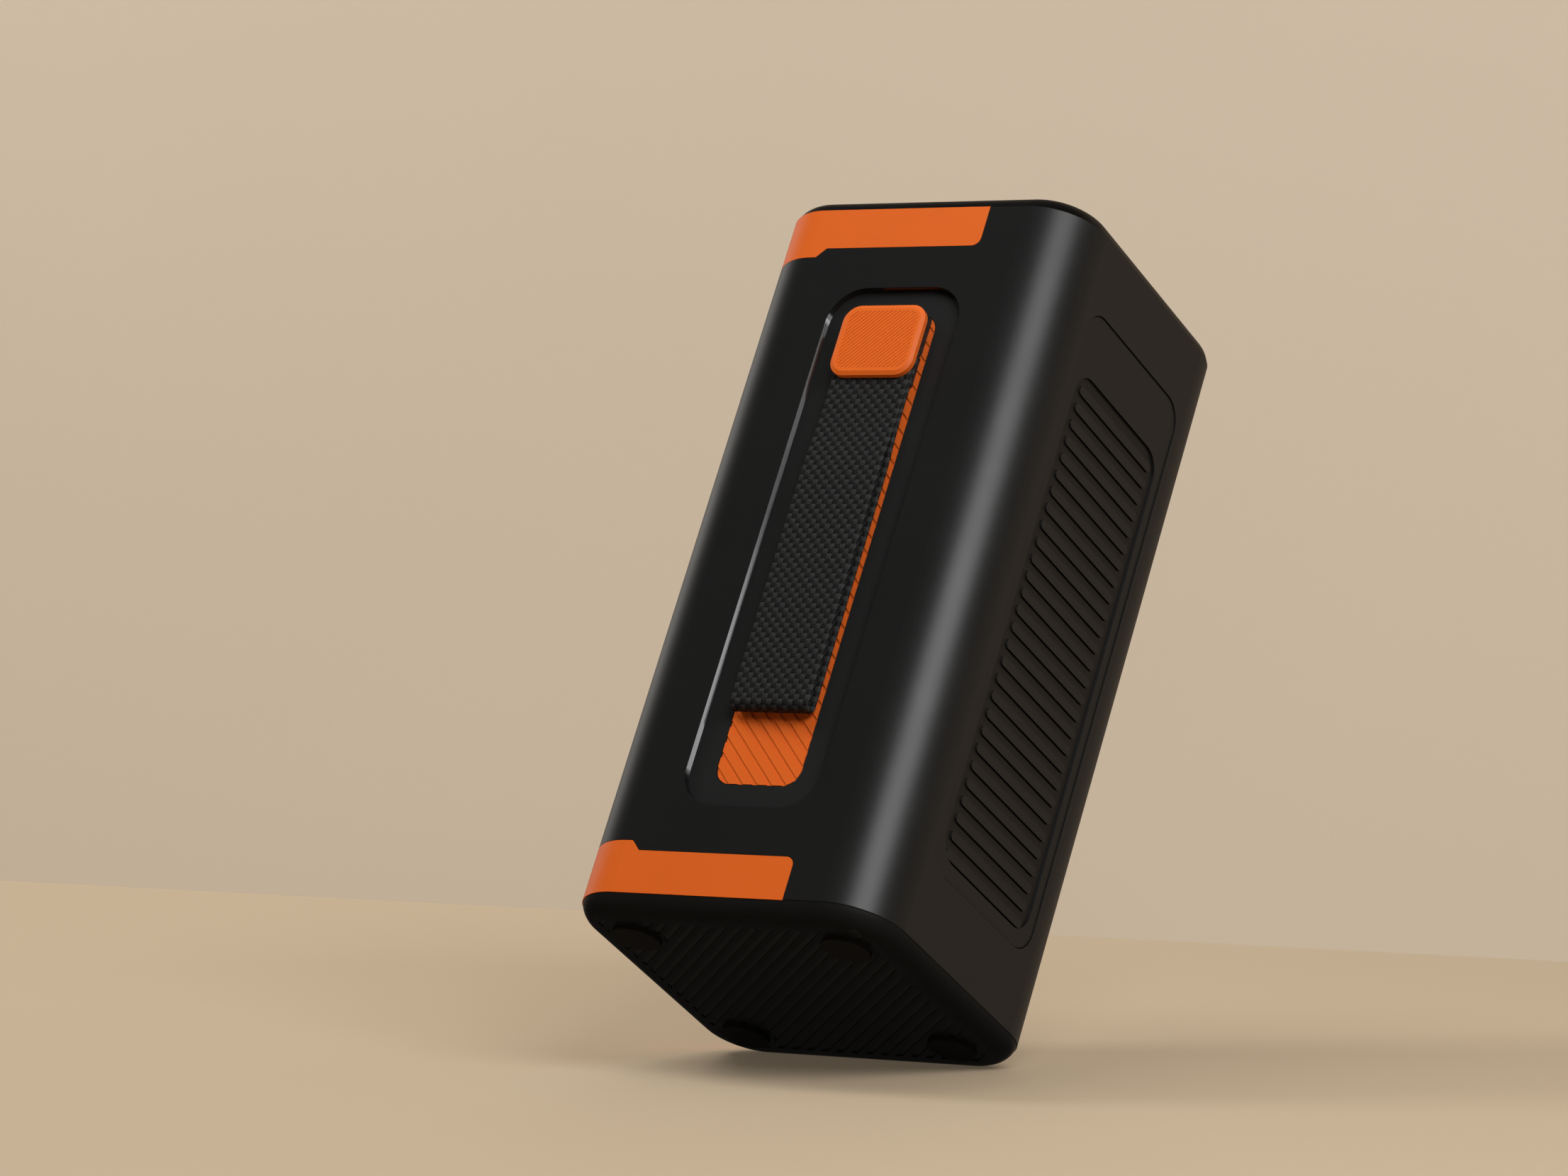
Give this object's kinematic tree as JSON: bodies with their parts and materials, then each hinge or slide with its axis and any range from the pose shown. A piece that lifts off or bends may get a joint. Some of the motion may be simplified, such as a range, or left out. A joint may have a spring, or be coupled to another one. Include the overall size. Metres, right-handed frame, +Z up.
{
  "type": "power station",
  "caption": "Tall camping power station with rounded corners, side strap in a recess, vented back, orange bands, ports and display on one face.",
  "frame": {"origin": "centre of the whole object's footprint, on the surface that the feet rest on", "axes": "+Z up along the tower, -Y out of the strap face, +X out of the vent face, -X out of the port face"},
  "size_m": [0.124, 0.1244, 0.2785],
  "materials": {
    "case_black": "fine satin texture",
    "cap_black": "fine satin texture",
    "trim_orange": "satin, fine texture",
    "plate_orange": "satin, ridged",
    "anchor_orange": "satin, fine hatch",
    "bezel_black": "polished",
    "floor_black": "satin",
    "webbing": "basket weave webbing",
    "vent_black": "fine satin texture",
    "rubber_black": "matt",
    "steel": "zinc plated",
    "brass": "bright",
    "panel_black": "satin",
    "screen_glass": "polished smoked window",
    "button_black": "soft touch",
    "lamp_diffuser": "frosted",
    "board_green": "solder mask",
    "module_grey": "moulded",
    "insulator_white": "moulded",
    "holder_black": "moulded",
    "cell_can": "shrink sleeve over a metal can",
    "nickel": "bright",
    "frame_alloy": "bead blasted",
    "ferrite": "matt ceramic grey",
    "copper_winding": "varnished wire",
    "seal_grey": "matt"
  },
  "bodies": {
    "station": {"housing": "case_black", "top_cap": "cap_black", "bottom_cap": "cap_black", "top_band": "trim_orange", "bottom_band": "trim_orange", "feet": "rubber_black", "cap_screws": "steel", "seals": "seal_grey", "recess_bezel": "bezel_black", "recess_floor": "floor_black", "base_plate": "plate_orange", "anchor_block": "floor_black", "anchor_cap": "anchor_orange", "anchor_screws": "steel", "strap_tail": "webbing", "vent_cover": "vent_black", "dust_screen": "module_grey", "fan_frame": "holder_black", "front_panel": "panel_black", "display_lens": "screen_glass", "display_module": "module_grey", "switch_board": "board_green", "tact_switches": "module_grey", "usb_a_ports": "steel", "usb_tongues": "insulator_white", "usb_c_ports": "steel", "ac_outlet": "panel_black", "outlet_contacts": "brass", "socket_barrel": "steel", "socket_sleeve": "holder_black", "socket_contact": "brass", "cover_ears": "holder_black", "cover_pin": "steel", "dc_jack": "holder_black", "dc_pin": "brass", "lamp_lens": "lamp_diffuser", "lamp_board": "board_green", "lamp_leds": "insulator_white", "frame": "frame_alloy", "top_studs": "steel", "battery_pad": "seal_grey", "battery_cells": "cell_can", "lower_cell_holder": "holder_black", "upper_cell_holder": "holder_black", "busbars": "nickel", "bms_board": "board_green", "inverter_board": "board_green", "control_board": "board_green", "capacitors": "cell_can", "transformer_core": "ferrite", "transformer_winding": "copper_winding", "heat_sink": "frame_alloy", "power_transistors": "holder_black"},
    "strap": {"strap_loop": "webbing"},
    "power_button": {"power_button": "button_black"},
    "ac_button": {"ac_button": "button_black"},
    "dc_button": {"dc_button": "button_black"},
    "light_button": {"light_button": "button_black"},
    "fan": {"fan_rotor": "holder_black"},
    "socket_cover": {"socket_cover": "rubber_black"}
  },
  "joints": [
    {"name": "strap_swing", "type": "hinge", "parent": "station", "child": "strap", "pos_m": [0, -0.05795, 0.1987], "axis": [-1, 0, 0], "range_deg": [0, 100]},
    {"name": "socket_cover_swing", "type": "hinge", "parent": "station", "child": "socket_cover", "pos_m": [-0.06075, -0.0116, 0.129], "axis": [0, 1, 0], "range_deg": [0, 165]},
    {"name": "fan_spin", "type": "hinge", "parent": "station", "child": "fan", "pos_m": [0.0495, 0.0024, 0.182], "axis": [1, 0, 0], "continuous": true},
    {"name": "power_button_press", "type": "slide", "parent": "station", "child": "power_button", "axis": [1, 0, 0], "range_m": [0, 0.0008], "stiffness_N_per_m": 600},
    {"name": "ac_button_press", "type": "slide", "parent": "station", "child": "ac_button", "axis": [1, 0, 0], "range_m": [0, 0.0008], "stiffness_N_per_m": 600},
    {"name": "dc_button_press", "type": "slide", "parent": "station", "child": "dc_button", "axis": [1, 0, 0], "range_m": [0, 0.0008], "stiffness_N_per_m": 600},
    {"name": "light_button_press", "type": "slide", "parent": "station", "child": "light_button", "axis": [1, 0, 0], "range_m": [0, 0.0008], "stiffness_N_per_m": 600}
  ]
}
